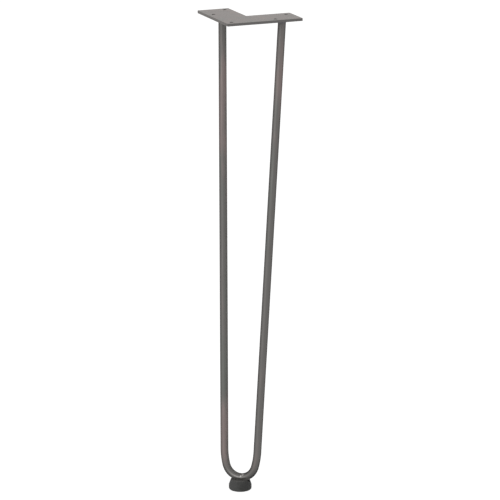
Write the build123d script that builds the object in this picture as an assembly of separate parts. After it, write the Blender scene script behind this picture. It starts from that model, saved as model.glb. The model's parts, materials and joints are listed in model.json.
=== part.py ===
"""Hairpin table leg: an L-shaped plate, one bent steel bar welded under it and a rubber foot.

Units are millimetres and +Z is up. The origin lies in the plate's top face, straight above the
middle of the foot, and the two arms of the plate run along +X and +Y. The leg hangs below the
plate and is mirror symmetric about the vertical plane x = y.
"""
import os
from math import asin, atan2, cos, degrees, hypot, radians, sqrt, tan

from build123d import *

# Steelwork as a whole, from the plate's top face to the underside of the bend
STEEL_HEIGHT = 720.0

# Plate
ARM_LENGTH = 120.0
ARM_WIDTH = 50.0
PLATE_THICKNESS = 4.0
PLATE_CORNER_RADIUS = 1.5
PLATE_EDGE_BREAK = 0.4
HOLE_DIAMETER = 5.5
HOLE_FROM_EDGE = 10.0
END_HOLE_FROM_END = 10.0
MID_HOLE_FROM_END = 40.0

# Bar and its bend: a tight curve below, then wide shoulders that run into the straight legs
BAR_DIAMETER = 12.0
BAR_FROM_ARM_END = 19.5
BAR_FROM_INNER_EDGE = 17.5
FOOT_FROM_OUTER_EDGES = 32.5
BEND_RADIUS = 24.5
SHOULDER_RADIUS = 110.0
SHOULDER_SPREAD = 2.9

# Weld round each top of the bar
WELD_LEG = 2.5

# Foot
FOOT_BASE_DIAMETER = 35.0
FOOT_TOP_DIAMETER = 29.0
FOOT_HEIGHT = 16.0
FOOT_BAND_HEIGHT = 7.5
FOOT_BASE_CHAMFER = 2.5
FOOT_RIM_CHAMFER = 0.6
SADDLE_DEPTH = 3.0

# Washer and screw that hold the foot
WASHER_DIAMETER = 10.0
WASHER_THICKNESS = 1.0
SCREW_DIAMETER = 5.0
SCREW_TIP_CHAMFER = 0.6
HEAD_DIAMETER = 9.5
HEAD_HEIGHT = 2.75
HEAD_EDGE = 1.2
HEAD_CROWN_DIAMETER = 5.4
HEAD_RECESS = 2.25
SOCKET_ACROSS_FLATS = 3.0
SOCKET_DEPTH = 1.6

# Tapped hole in the bend, blind, with the drill's point left at its end
STEEL_OVER_HOLE = 3.0
HOLE_PAST_SCREW = 1.0
DRILL_POINT_ANGLE = 118.0

# Clearances on the diameter
SCREW_CLEARANCE = 0.5
WASHER_CLEARANCE = 0.3
THREAD_CLEARANCE = 0.1
POCKET_CLEARANCE = 2.0

# Places that follow from the sizes above
EDGE = -FOOT_FROM_OUTER_EDGES
BAR_RADIUS = BAR_DIAMETER / 2
BAR_TOP_FAR = EDGE + ARM_LENGTH - BAR_FROM_ARM_END
BAR_TOP_NEAR = EDGE + ARM_WIDTH - BAR_FROM_INNER_EDGE
PLATE_UNDERSIDE = -PLATE_THICKNESS
BEND_UNDERSIDE = -STEEL_HEIGHT
FOOT_TOP = BEND_UNDERSIDE + SADDLE_DEPTH
FLOOR = FOOT_TOP - FOOT_HEIGHT
HEAD_SEAT = FLOOR + HEAD_RECESS + HEAD_HEIGHT
WASHER_SEAT = HEAD_SEAT + WASHER_THICKNESS
TAPPED_END = BEND_UNDERSIDE + BAR_DIAMETER - STEEL_OVER_HOLE
SCREW_LENGTH = TAPPED_END - HOLE_PAST_SCREW - HEAD_SEAT


def turned(profile: Sketch) -> Part:
    """Solid of revolution about Z from a half profile drawn as (radius, height)."""
    return revolve(Plane.XZ * profile, Axis.Z)


def leg_path(height: float) -> Wire:
    """Centre line from the bend's lowest point up one leg, drawn flat as (across, up).

    The leg is the tangent from the shoulder's circle to the place of the bar's top, and it runs
    on by a bar's width so that the top can be cut off flush.
    """
    half_gap = (BAR_TOP_FAR - BAR_TOP_NEAR) / sqrt(2)
    wider = SHOULDER_RADIUS - BEND_RADIUS
    bend_angle = degrees(asin(1 - SHOULDER_SPREAD / wider))
    bend = JernArc((0, 0), (1, 0), BEND_RADIUS, bend_angle)
    toward_centre = Vector(bend.center_point) - Vector(bend @ 1)
    centre = bend @ 1 + toward_centre.normalized() * SHOULDER_RADIUS
    over = half_gap - centre.X
    up = height - centre.Y
    tilt = degrees(atan2(over, up) - asin(SHOULDER_RADIUS / hypot(over, up)))
    shoulder = JernArc(bend @ 1, bend % 1, SHOULDER_RADIUS, 90 - tilt - bend_angle)
    straight = (height - (shoulder @ 1).Y) / cos(radians(tilt))
    leg = PolarLine(shoulder @ 1, straight + BAR_DIAMETER, 90 - tilt)
    return Wire([bend.edge(), shoulder.edge(), leg.edge()])


def bent_bar() -> Part:
    """Round bar bent in a plane that leans out to the foot, its tops cut flush with the plate."""
    middle = (BAR_TOP_FAR + BAR_TOP_NEAR) / 2
    lowest = Vector(0, 0, BEND_UNDERSIDE + BAR_RADIUS)
    rise = Vector(middle, middle, PLATE_UNDERSIDE) - lowest
    across = Vector(1, -1, 0)
    plane = Plane(origin=lowest, x_dir=across, z_dir=across.cross(rise))
    right = leg_path(rise.length)
    left = right.mirror(Plane.YZ)
    path = plane * Wire(left.edges() + right.edges())
    section = Plane(origin=path @ 0, z_dir=path % 0) * Circle(BAR_RADIUS)
    trim = Box(4 * ARM_LENGTH, 4 * ARM_LENGTH, 4 * BAR_DIAMETER)
    return sweep(section, path=path) - Pos(0, 0, PLATE_UNDERSIDE + 2 * BAR_DIAMETER) * trim


def hairpin_rod(bar: Part) -> Part:
    """Bar with the blind tapped hole, drill point included, in the underside of its bend."""
    radius = (SCREW_DIAMETER + THREAD_CLEARANCE) / 2
    mouth = BEND_UNDERSIDE - BAR_RADIUS
    point = TAPPED_END + radius / tan(radians(DRILL_POINT_ANGLE / 2))
    hole = Polyline((0, mouth), (radius, mouth), (radius, TAPPED_END), (0, point), close=True)
    return bar - turned(make_face(hole))


def hole_places() -> list[tuple[float, float]]:
    """Places of the five screw holes, from the plate's outer corner."""
    corner = (HOLE_FROM_EDGE, HOLE_FROM_EDGE)
    middle = (ARM_LENGTH - MID_HOLE_FROM_END, HOLE_FROM_EDGE)
    end = (ARM_LENGTH - END_HOLE_FROM_END, ARM_WIDTH - HOLE_FROM_EDGE)
    return [corner, middle, middle[::-1], end, end[::-1]]


def mounting_plate() -> Part:
    """L-shaped plate with rounded corners, broken edges and five plain screw holes."""
    outline = Polyline(
        (0, 0),
        (ARM_LENGTH, 0),
        (ARM_LENGTH, ARM_WIDTH),
        (ARM_WIDTH, ARM_WIDTH),
        (ARM_WIDTH, ARM_LENGTH),
        (0, ARM_LENGTH),
        close=True,
    )
    sheet = make_face(outline)
    plate = extrude(fillet(sheet.vertices(), PLATE_CORNER_RADIUS), -PLATE_THICKNESS)
    flats = plate.faces().filter_by(Axis.Z)
    plate = chamfer(flats.edges(), PLATE_EDGE_BREAK)
    drill = Cylinder(HOLE_DIAMETER / 2, 4 * PLATE_THICKNESS)
    plate -= [Pos(x, y, 0) * drill for x, y in hole_places()]
    return Pos(EDGE, EDGE, 0) * plate


def weld_bead(bar: Part, x: float, y: float) -> Part:
    """Fillet weld in the corner between the plate and one top of the bar."""
    toe = BAR_RADIUS + WELD_LEG
    inside = BAR_RADIUS - WELD_LEG
    profile = Polyline((toe, 0), (inside, 0), (inside, inside - toe), close=True)
    return Pos(x, y, PLATE_UNDERSIDE) * turned(make_face(profile)) - bar


def rubber_foot(bar: Part) -> Part:
    """Round tapered foot with a saddle for the bend and a pocket below for washer and screw head."""
    base = FOOT_BASE_DIAMETER / 2
    top = FOOT_TOP_DIAMETER / 2
    outline = Polyline(
        (0, 0),
        (base - FOOT_BASE_CHAMFER, 0),
        (base, FOOT_BASE_CHAMFER),
        (base, FOOT_BAND_HEIGHT),
        (top, FOOT_HEIGHT - FOOT_RIM_CHAMFER),
        (top - FOOT_RIM_CHAMFER, FOOT_HEIGHT),
        (0, FOOT_HEIGHT),
        close=True,
    )
    body = Pos(0, 0, FLOOR) * turned(make_face(outline))
    pocket_radius = (max(WASHER_DIAMETER, HEAD_DIAMETER) + POCKET_CLEARANCE) / 2
    pocket = Cylinder(pocket_radius, 2 * (WASHER_SEAT - FLOOR))
    passage = Cylinder((SCREW_DIAMETER + SCREW_CLEARANCE) / 2, 4 * FOOT_HEIGHT)
    return body - Pos(0, 0, FLOOR) * (pocket + passage) - bar


def foot_washer() -> Part:
    """Flat washer at the top of the foot's pocket."""
    disc = Cylinder(WASHER_DIAMETER / 2, WASHER_THICKNESS)
    bore = Cylinder((SCREW_DIAMETER + WASHER_CLEARANCE) / 2, 2 * WASHER_THICKNESS)
    return Pos(0, 0, WASHER_SEAT - WASHER_THICKNESS / 2) * (disc - bore)


def foot_screw() -> Part:
    """Low-head screw with a hexagon socket, driven up through washer and foot into the bend."""
    shank = SCREW_DIAMETER / 2
    head = HEAD_DIAMETER / 2
    crown = HEAD_CROWN_DIAMETER / 2
    profile = Polyline(
        (crown, -HEAD_HEIGHT),
        (0, -HEAD_HEIGHT),
        (0, SCREW_LENGTH),
        (shank - SCREW_TIP_CHAMFER, SCREW_LENGTH),
        (shank, SCREW_LENGTH - SCREW_TIP_CHAMFER),
        (shank, 0),
        (head, 0),
        (head, -HEAD_EDGE),
        close=True,
    )
    blank = turned(make_face(profile))
    socket = extrude(RegularPolygon(SOCKET_ACROSS_FLATS / sqrt(3), 6), SOCKET_DEPTH)
    return Pos(0, 0, HEAD_SEAT) * (blank - Pos(0, 0, -HEAD_HEIGHT) * socket)


def build() -> dict[str, Part]:
    """Every piece of the leg under its node name."""
    bar = bent_bar()
    return {
        "mounting_plate": mounting_plate(),
        "hairpin_rod": hairpin_rod(bar),
        "weld_bead_x": weld_bead(bar, BAR_TOP_FAR, BAR_TOP_NEAR),
        "weld_bead_y": weld_bead(bar, BAR_TOP_NEAR, BAR_TOP_FAR),
        "rubber_foot": rubber_foot(bar),
        "foot_washer": foot_washer(),
        "foot_screw": foot_screw(),
    }


if __name__ == "__main__":
    os.makedirs("parts", exist_ok=True)
    for name, piece in build().items():
        export_step(piece, f"parts/{name}.step")
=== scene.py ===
"""Dressed hairpin table leg: finished meshes, procedural finishes, studio light and camera.

Units are metres and +Z is up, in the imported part's own frame: the origin lies in the plate's top
face, straight above the middle of the foot, and the plate's two arms run along +X and +Y.
"""
import json
import logging
import math
from collections.abc import Callable, Iterable, Sequence
from dataclasses import dataclass, field
from enum import Enum
from typing import Any

import bmesh
import bpy
from mathutils import Euler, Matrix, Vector
from mathutils.bvhtree import BVHTree


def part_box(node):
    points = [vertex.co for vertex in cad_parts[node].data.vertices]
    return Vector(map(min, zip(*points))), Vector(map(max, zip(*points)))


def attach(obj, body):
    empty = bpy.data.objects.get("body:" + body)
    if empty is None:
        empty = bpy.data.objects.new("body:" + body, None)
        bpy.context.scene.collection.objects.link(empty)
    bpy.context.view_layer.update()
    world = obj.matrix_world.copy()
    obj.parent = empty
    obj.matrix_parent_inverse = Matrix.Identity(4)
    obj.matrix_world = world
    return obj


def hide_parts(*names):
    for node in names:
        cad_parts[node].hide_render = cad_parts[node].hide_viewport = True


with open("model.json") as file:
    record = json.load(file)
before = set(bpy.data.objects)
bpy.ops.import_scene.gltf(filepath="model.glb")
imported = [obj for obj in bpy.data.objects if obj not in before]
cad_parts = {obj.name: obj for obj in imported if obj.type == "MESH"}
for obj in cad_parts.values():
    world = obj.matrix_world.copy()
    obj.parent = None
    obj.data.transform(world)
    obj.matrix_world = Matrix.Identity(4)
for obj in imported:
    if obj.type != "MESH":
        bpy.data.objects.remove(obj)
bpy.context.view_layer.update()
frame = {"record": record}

log = logging.getLogger("hairpin_leg")

BODY = "root"
MM = 0.001
MERGE = 0.001 * MM
FULL_TURN = 2 * math.pi

Socket = bpy.types.NodeSocket
Material = bpy.types.Material
Piece = bpy.types.Object
Colour = tuple[float, float, float, float]
Triple = tuple[float, float, float]
Profile = list[tuple[float, float]]
Box = tuple[Vector, Vector]
# A span is two limits, and a step is the two limits of a fade and its results there.
Span = tuple[float, float]
Step = tuple[float, float, float, float]


class Slot(Enum):
    """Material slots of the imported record."""

    PLATE = "plate_steel"
    BAR = "bar_steel"
    WELD = "weld_steel"
    RUBBER = "rubber"
    ZINC = "zinc_steel"


class Tree(Enum):
    """Kinds of node tree that the script builds."""

    SHADER = "ShaderNode"
    GEOMETRY = "GeometryNode"


def tone(*levels: int) -> Colour:
    """Linear colour of a tone that is given by its display values.

    Args:
        levels: red, green and blue, from 0 to 255.

    Returns:
        Linear red, green and blue, and an alpha of 1.
    """
    shares = [level / 255 for level in levels]
    linear = [s / 12.92 if s <= 0.04045 else ((s + 0.055) / 1.055) ** 2.4 for s in shares]
    return (*linear, 1.0)


def steps(start: float, end: float, count: int) -> list[float]:
    """Evenly spaced values from the start to the end, with as many spaces as the count."""
    return [start + (end - start) * i / count for i in range(count + 1)]


def label(keyword: str) -> str:
    """Name of a node group's socket, such as Hole Radius for the keyword hole_radius."""
    return keyword.replace("_", " ").title()


class Graph:
    """Adds nodes to one node tree and wires them up."""

    def __init__(self, tree: bpy.types.NodeTree) -> None:
        """Work on an existing tree."""
        self.tree = tree

    def feed(self, socket: Socket, value: Any) -> None:
        """Link a source to an input, or set the input's own value.

        Args:
            socket: the input.
            value: source socket or plain value.
        """
        if isinstance(value, Socket):
            self.tree.links.new(value, socket)
        else:
            socket.default_value = value

    def add(self, kind: str, sockets: dict[Any, Any] | None = None, **settings: Any) -> bpy.types.Node:
        """Add one node.

        Args:
            kind: Blender's name of the node's type.
            sockets: value or source socket of each input, by the input's name or number.
            settings: the node's own properties, such as its operation.

        Returns:
            The new node.
        """
        node = self.tree.nodes.new(kind)
        for name, value in settings.items():
            setattr(node, name, value)
        for key, value in (sockets or {}).items():
            self.feed(node.inputs[key], value)
        return node

    def out(self, kind: str, sockets: dict[Any, Any] | None = None, **settings: Any) -> Socket:
        """First output of a new node, which is described as for add."""
        return self.add(kind, sockets, **settings).outputs[0]

    def math(self, operation: str, *terms: Any) -> Socket:
        """Result of a Math node on the given terms."""
        return self.out("ShaderNodeMath", dict(enumerate(terms)), operation=operation)

    def vector(self, operation: str, *terms: Any) -> Socket:
        """Vector result of a Vector Math node on the given terms."""
        return self.out("ShaderNodeVectorMath", dict(enumerate(terms)), operation=operation)

    def scaled(self, vector: Any, factor: Any) -> Socket:
        """A vector times a number."""
        return self.out("ShaderNodeVectorMath", {0: vector, "Scale": factor}, operation="SCALE")

    def distance(self, first: Any, second: Any) -> Socket:
        """Distance between two places."""
        node = self.add("ShaderNodeVectorMath", {0: first, 1: second}, operation="DISTANCE")
        return node.outputs["Value"]

    def swing(self, value: Any, reach: Any) -> Socket:
        """A value from 0 to 1 as a swing to both sides, as wide as the reach."""
        return self.math("MULTIPLY", self.math("SUBTRACT", value, 0.5), reach)

    def split(self, vector: Any) -> list[Socket]:
        """The three parts of a vector."""
        return list(self.add("ShaderNodeSeparateXYZ", {0: vector}).outputs)

    def join(self, *parts: Any) -> Socket:
        """Vector of three parts."""
        return self.out("ShaderNodeCombineXYZ", dict(enumerate(parts)))

    def spot(self, name: str) -> Socket:
        """The shaded point's own Object place or Normal."""
        return self.add("ShaderNodeTexCoord").outputs[name]

    def blend(self, share: Any, first: Any, second: Any) -> Socket:
        """Colour that goes from the first to the second as the share goes from 0 to 1."""
        return self.add("ShaderNodeMix", {0: share, 6: first, 7: second}, data_type="RGBA").outputs[2]

    def fade(self, value: Any, low: Any, high: Any, first: Any = 0.0, last: Any = 1.0) -> Socket:
        """Smooth step from the first result to the last as a value goes from low to high."""
        sockets = {0: value, 1: low, 2: high, 3: first, 4: last}
        return self.out("ShaderNodeMapRange", sockets, interpolation_type="SMOOTHSTEP")

    def noise(self, where: Any, seed: Any, detail: float) -> Socket:
        """Seeded noise of unit scale at a place, from 0 to 1."""
        sockets = {"Vector": where, "W": seed, "Scale": 1.0, "Detail": detail}
        return self.out("ShaderNodeTexNoise", sockets, noise_dimensions="4D")

    def together(self, *parts: Socket) -> Socket:
        """Several geometries as one.

        Args:
            parts: sockets with the geometries.

        Returns:
            Socket with all of them.
        """
        node = self.add("GeometryNodeJoinGeometry")
        for part in parts:
            self.feed(node.inputs[0], part)
        return node.outputs[0]


@dataclass
class Group:
    """A node group with named sockets.

    Attributes:
        name: the group's name.
        kind: shader or geometry.
        inputs: names of the inputs, by the type of their sockets.
        output: name and type of the output.
    """

    name: str
    kind: Tree
    inputs: dict[str, Sequence[str]]
    output: tuple[str, str]

    def __post_init__(self) -> None:
        """Make the empty tree with its sockets."""
        tree = bpy.data.node_groups.new(self.name, f"{self.kind.value}Tree")
        sockets = [(name, "INPUT", kind) for kind, names in self.inputs.items() for name in names]
        for name, direction, kind in [*sockets, (self.output[0], "OUTPUT", self.output[1])]:
            tree.interface.new_socket(name, in_out=direction, socket_type=f"NodeSocket{kind}")
        self.graph = Graph(tree)
        self.source = tree.nodes.new("NodeGroupInput").outputs
        self.sink = tree.nodes.new("NodeGroupOutput").inputs

    def deliver(self, result: Socket) -> "Group":
        """Link the result to the group's output and give back the group."""
        self.graph.feed(self.sink[0], result)
        return self

    def deliver_piece(self, geometry: Socket) -> "Group":
        """Deliver geometry with its instances realized and its material set.

        Args:
            geometry: socket with the finished geometry.

        Returns:
            The group itself.
        """
        real = self.graph.out("GeometryNodeRealizeInstances", {0: geometry})
        dressed = {"Geometry": real, "Material": self.source["Material"]}
        return self.deliver(self.graph.out("GeometryNodeSetMaterial", dressed))

    def place(self, graph: Graph, **sockets: Any) -> Socket:
        """Put the group into a graph, fed by values or sockets, and give back its output."""
        values = {label(name): value for name, value in sockets.items()}
        return graph.out(f"{self.kind.value}Group", values, node_tree=self.graph.tree)

    def run(self, piece: Piece, **values: Any) -> None:
        """Evaluate a geometry group on a piece and keep the result as its plain mesh.

        Args:
            piece: mesh object that the group reads.
            values: value of each named input.
        """
        modifier = piece.modifiers.new(self.name, "NODES")
        modifier.node_group = self.graph.tree
        sockets = self.graph.tree.interface.items_tree
        identifiers = {item.name: item.identifier for item in sockets if item.in_out == "INPUT"}
        for name, value in values.items():
            modifier[identifiers[label(name)]] = value
        settle(piece)


def settle(piece: Piece) -> None:
    """Replace a piece's mesh by its evaluated one and remove its modifiers.

    Args:
        piece: mesh object with modifiers.
    """
    graph = bpy.context.evaluated_depsgraph_get()
    evaluated = piece.evaluated_get(graph)
    mesh = bpy.data.meshes.new_from_object(evaluated, preserve_all_data_layers=True, depsgraph=graph)
    piece.modifiers.clear()
    mesh.name = piece.name
    piece.data = mesh


def new_piece(name: str, points: Iterable[Vector], edges: Sequence = (), faces: Sequence = ()) -> Piece:
    """Make a mesh object at the origin.

    Args:
        name: the object's name.
        points: its vertices.
        edges: pairs of vertex numbers.
        faces: loops of vertex numbers.

    Returns:
        The new object, linked to the scene.
    """
    mesh = bpy.data.meshes.new(name)
    mesh.from_pydata(list(points), list(edges), list(faces))
    piece = bpy.data.objects.new(name, mesh)
    bpy.context.scene.collection.objects.link(piece)
    return piece


def chain(name: str, points: list[Vector]) -> Piece:
    """Mesh object of points that are joined by edges one after the other."""
    return new_piece(name, points, edges=[(i, i + 1) for i in range(len(points) - 1)])


def tidy_faces(piece: Piece, crease: float = 35.0) -> None:
    """Merge doubles, point the faces outwards and shade smooth up to an angle.

    Args:
        piece: finished closed mesh.
        crease: angle in degrees from which an edge stays sharp.
    """
    shape = bmesh.new()
    shape.from_mesh(piece.data)
    bmesh.ops.remove_doubles(shape, verts=shape.verts, dist=MERGE)
    bmesh.ops.recalc_face_normals(shape, faces=shape.faces)
    shape.to_mesh(piece.data)
    shape.free()
    piece.data.polygons.foreach_set("use_smooth", [True] * len(piece.data.polygons))
    piece.data.set_sharp_from_angle(angle=math.radians(crease))


def hand_over(piece: Piece, node: str) -> None:
    """Let a finished piece stand for its solid, ride with the leg and log its faces.

    Args:
        piece: finished mesh object.
        node: the solid's node name.
    """
    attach(piece, BODY)
    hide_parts(node)
    log.info("%s: %d faces in place of %s", piece.name, len(piece.data.polygons), node)


def dress(piece: Piece, finish: Material, node: str) -> None:
    """Give a closed mesh its material, tidy its faces and hand it over.

    Args:
        piece: closed mesh object.
        finish: its material.
        node: the solid's node name.
    """
    piece.data.materials.append(finish)
    tidy_faces(piece)
    hand_over(piece, node)


def ring(radius: float | Callable[[float], float], height: float, sides: int) -> list[Vector]:
    """Points round the Z axis.

    Args:
        radius: radius, or a function that gives it at an angle.
        height: Z of the ring.
        sides: number of points.

    Returns:
        The points, counter-clockwise from above.
    """
    points = []
    for i in range(sides):
        angle = FULL_TURN * i / sides
        reach = radius(angle) if callable(radius) else radius
        points.append(Vector((reach * math.cos(angle), reach * math.sin(angle), height)))
    return points


def skin(name: str, rings: list[list[Vector]], closed: bool) -> Piece:
    """Skin a row of rings with faces.

    Args:
        name: name of the object.
        rings: rings with as many points each.
        closed: whether the last ring meets the first; otherwise both ends get a flat cap.

    Returns:
        The closed mesh object.
    """
    sides = len(rings[0])
    points = [point for loop in rings for point in loop]
    faces: list[tuple[int, ...]] = []
    for i in range(len(rings) if closed else len(rings) - 1):
        lower = i * sides
        upper = (i + 1) % len(rings) * sides
        for j in range(sides):
            k = (j + 1) % sides
            faces.append((lower + j, lower + k, upper + k, upper + j))
    if not closed:
        faces.append(tuple(range(sides)))
        faces.append(tuple(range(len(points) - sides, len(points))))
    return new_piece(name, points, faces=faces)


def rounded(corners: Profile, radii: Sequence[float], parts: int = 6) -> Profile:
    """Closed outline with an arc at each corner that has a radius.

    Args:
        corners: corner points in order.
        radii: radius at each corner, 0 for a sharp one.
        parts: pieces in each arc.

    Returns:
        Points of the rounded outline.
    """
    outline: Profile = []
    for i, (corner, radius) in enumerate(zip(corners, radii)):
        here = Vector(corner)
        if radius == 0:
            outline.append(corner)
            continue
        back = (Vector(corners[i - 1]) - here).normalized()
        ahead = (Vector(corners[(i + 1) % len(corners)]) - here).normalized()
        half = back.angle(ahead) / 2
        middle = here + (back + ahead).normalized() * radius / math.sin(half)
        first, last = (here + arm * radius / math.tan(half) - middle for arm in (back, ahead))
        start = math.atan2(first.y, first.x)
        turn = math.remainder(math.atan2(last.y, last.x) - start, FULL_TURN)
        for angle in steps(start, start + turn, parts):
            outline.append((middle.x + radius * math.cos(angle), middle.y + radius * math.sin(angle)))
    return outline


def divided(outline: Profile, longest: float) -> Profile:
    """Outline with extra points, so that no stretch of it is longer than a limit.

    Args:
        outline: points in order.
        longest: greatest distance between two points.

    Returns:
        The old and the new points, from the first to the last.
    """
    points = outline[:1]
    for start, end in zip(outline, outline[1:]):
        shares = steps(0, 1, math.ceil(math.dist(start, end) / longest))[1:]
        points += [tuple(Vector(start).lerp(Vector(end), share)) for share in shares]
    return points


class Effects:
    """Node groups that the finishes share, built once.

    PATCHES and RUBBED are limits in a noise, EDGES in the slope of a face, and HEAT_FADE and SETTLED
    in shares of a reach. HEAT_TONES run from the weld outwards by the same shares, which wander by
    HEAT_WANDER with HEAT_CLOUDS clouds to a metre. COOL_SEED parts the cool patches from the warm.
    """

    PATCHES: Span = (0.5, 0.64)
    COOL_SEED = 792.0
    EDGES: Span = (0.08, 0.2)
    RUBBED: Span = (0.35, 0.65)
    HEAT_CLOUDS = 180.0
    HEAT_WANDER = 0.5
    HEAT_FADE: Step = (0.4, 1.0, 0.6, 0.0)
    HEAT_TONES = (
        (0.0, tone(74, 70, 68)),
        (0.35, tone(104, 88, 70)),
        (0.6, tone(84, 88, 104)),
        (1.0, tone(112, 108, 104)),
    )
    SETTLED: Step = (0.2, 1.0, 1.0, 0.0)

    def __init__(self) -> None:
        """Build every group."""
        self.streaks = self.make_streaks()
        self.patina = self.make_patina()
        self.wear = self.make_wear()
        self.heat = self.make_heat()
        self.residue = self.make_residue()

    def make_streaks(self) -> Group:
        """Mask of soft patches that can be stretched along one direction.

        Returns:
            Group from a place, its stretch, a seed and two limits to a mask.
        """
        inputs = {"Vector": ("Vector", "Stretch"), "Float": ("Seed", "Low", "High")}
        group = Group("streaks", Tree.SHADER, inputs, ("Mask", "Float"))
        graph, source = group.graph, group.source
        place = graph.vector("MULTIPLY", source["Vector"], source["Stretch"])
        cloud = graph.noise(place, source["Seed"], detail=3.0)
        return group.deliver(graph.fade(cloud, source["Low"], source["High"]))

    def make_patina(self) -> Group:
        """Colour of a surface with warm and cool patches.

        Returns:
            Group from a place, its stretch, a seed, an amount and three tones to a colour.
        """
        tones = ("Base", "Warm", "Cool")
        inputs = {"Vector": ("Vector", "Stretch"), "Float": ("Seed", "Amount"), "Color": tones}
        group = Group("patina", Tree.SHADER, inputs, ("Color", "Color"))
        graph, source = group.graph, group.source
        place = {"vector": source["Vector"], "stretch": source["Stretch"]}
        low, high = self.PATCHES
        colour = source["Base"]
        for patch, shift in (("Warm", 0.0), ("Cool", self.COOL_SEED)):
            seed = graph.math("ADD", source["Seed"], shift)
            mask = self.streaks.place(graph, **place, seed=seed, low=low, high=high)
            share = graph.math("MULTIPLY", mask, source["Amount"])
            colour = graph.blend(share, colour, source[patch])
        return group.deliver(colour)

    def make_wear(self) -> Group:
        """Mask of the worn places on broken edges, where a face is neither level nor upright.

        Returns:
            Group from a normal, a place, a scale and a seed to a mask.
        """
        inputs = {"Vector": ("Normal", "Vector"), "Float": ("Scale", "Seed")}
        group = Group("edge_wear", Tree.SHADER, inputs, ("Mask", "Float"))
        graph, source = group.graph, group.source
        level = graph.math("ABSOLUTE", graph.split(source["Normal"])[2])
        slope = graph.math("MULTIPLY", level, graph.math("SUBTRACT", 1.0, level))
        cloud = graph.noise(graph.scaled(source["Vector"], source["Scale"]), source["Seed"], detail=2.0)
        edges, wear_and_glint = graph.fade(slope, *self.EDGES), graph.fade(cloud, *self.RUBBED)
        return group.deliver(graph.math("MULTIPLY", edges, wear_and_glint))

    def make_heat(self) -> Group:
        """Colour of steel that was heated by a weld: scale, then brown, then a thin blue band.

        Returns:
            Group from a colour, the distance from the weld, its reach, a place and a seed to a colour.
        """
        inputs = {"Color": ("Color",), "Float": ("Distance", "Reach", "Seed"), "Vector": ("Vector",)}
        group = Group("heat_tint", Tree.SHADER, inputs, ("Color", "Color"))
        graph, source = group.graph, group.source
        cloud = graph.noise(graph.scaled(source["Vector"], self.HEAT_CLOUDS), source["Seed"], detail=2.0)
        plain = graph.math("DIVIDE", source["Distance"], source["Reach"])
        share = graph.math("ADD", plain, graph.swing(cloud, self.HEAT_WANDER))
        ramp = graph.add("ShaderNodeValToRGB", {0: share})
        stops = ramp.color_ramp.elements
        stops[0].color, stops[1].color = self.HEAT_TONES[0][1], self.HEAT_TONES[-1][1]
        for position, colour in self.HEAT_TONES[1:-1]:
            stops.new(position).color = colour
        near = graph.fade(share, *self.HEAT_FADE)
        return group.deliver(graph.blend(near, source["Color"], ramp.outputs[0]))

    def make_residue(self) -> Group:
        """Mask of dust and worn-off matter that settles just above a level; at the bar's seat it also
        places painted light.

        Returns:
            Group from a place, the specks' stretch, the level, its reach, a seed and the specks'
            limits to a mask.
        """
        inputs = {"Vector": ("Vector", "Stretch"), "Float": ("Level", "Reach", "Seed", "Low", "High")}
        group = Group("residue", Tree.SHADER, inputs, ("Mask", "Float"))
        graph, source = group.graph, group.source
        height = graph.math("SUBTRACT", graph.split(source["Vector"])[2], source["Level"])
        near = graph.fade(graph.math("DIVIDE", height, source["Reach"]), *self.SETTLED)
        specks = {name.lower(): source[name] for name in ("Vector", "Stretch", "Seed", "Low", "High")}
        return group.deliver(graph.math("MULTIPLY", near, self.streaks.place(graph, **specks)))


@dataclass(frozen=True)
class Finish:
    """A surface with warm and cool patches and a fine grain.

    Attributes:
        name: name of the material.
        base: overall tone.
        warm: tone of the warmer or paler patches.
        cool: tone of the cooler or deeper patches.
        stretch: patches per metre in each direction of the pattern.
        grain: fine marks per metre in each direction of the pattern.
        roughness: least and greatest roughness.
        seed: seed of the patterns.
        patches: how strongly the patches show.
        grain_limits: limits in the noise of the fine marks.
        grain_seed: how far the seed of the grain lies from that of the patches.
        relief: depth of the grain, 0 for a smooth surface.
        relief_strength: how strongly that depth shows.
    """

    name: str
    base: Colour
    warm: Colour
    cool: Colour
    stretch: Triple
    grain: Triple
    roughness: Span
    seed: float
    patches: float = 0.8
    grain_limits: Span = (0.3, 0.7)
    grain_seed: float = 0.0
    relief: float = 0.0
    relief_strength: float = 0.5

    def where(self, graph: Graph) -> Socket:
        """Place that the pattern follows."""
        return graph.spot("Object")

    def amount(self, graph: Graph) -> Socket | float:
        """How strongly the patches show."""
        return self.patches

    def dullness(self, graph: Graph, fine: Socket) -> Socket:
        """Roughness, which follows the grain."""
        return graph.fade(fine, 0.0, 1.0, *self.roughness)

    def colour(self, graph: Graph, effects: Effects, where: Socket) -> Socket:
        """Patched tone, for a graph, the shared effects and the place that the pattern follows."""
        tones = {"base": self.base, "warm": self.warm, "cool": self.cool, "amount": self.amount(graph)}
        return effects.patina.place(graph, **tones, vector=where, stretch=self.stretch, seed=self.seed)

    def sockets(self, graph: Graph, effects: Effects) -> dict[str, Any]:
        """Work out the shader's inputs.

        Args:
            graph: the material's graph.
            effects: shared node groups.

        Returns:
            Value or source socket of each input that the finish sets.
        """
        where = self.where(graph)
        low, high = self.grain_limits
        lines = {"stretch": self.grain, "seed": self.seed + self.grain_seed, "low": low, "high": high}
        fine = effects.streaks.place(graph, vector=where, **lines)
        found = {"Base Color": self.colour(graph, effects, where), "Roughness": self.dullness(graph, fine)}
        if self.relief:
            bump = {"Height": fine, "Distance": self.relief, "Strength": self.relief_strength}
            found["Normal"] = graph.out("ShaderNodeBump", bump)
        return found

    def material(self, effects: Effects) -> Material:
        """Build the material.

        Args:
            effects: shared node groups.

        Returns:
            The finished material.
        """
        made = bpy.data.materials.new(self.name)
        made.use_nodes = True
        graph = Graph(made.node_tree)
        shader = made.node_tree.nodes["Principled BSDF"]
        for name, value in self.sockets(graph, effects).items():
            graph.feed(shader.inputs[name], value)
        return made


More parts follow.
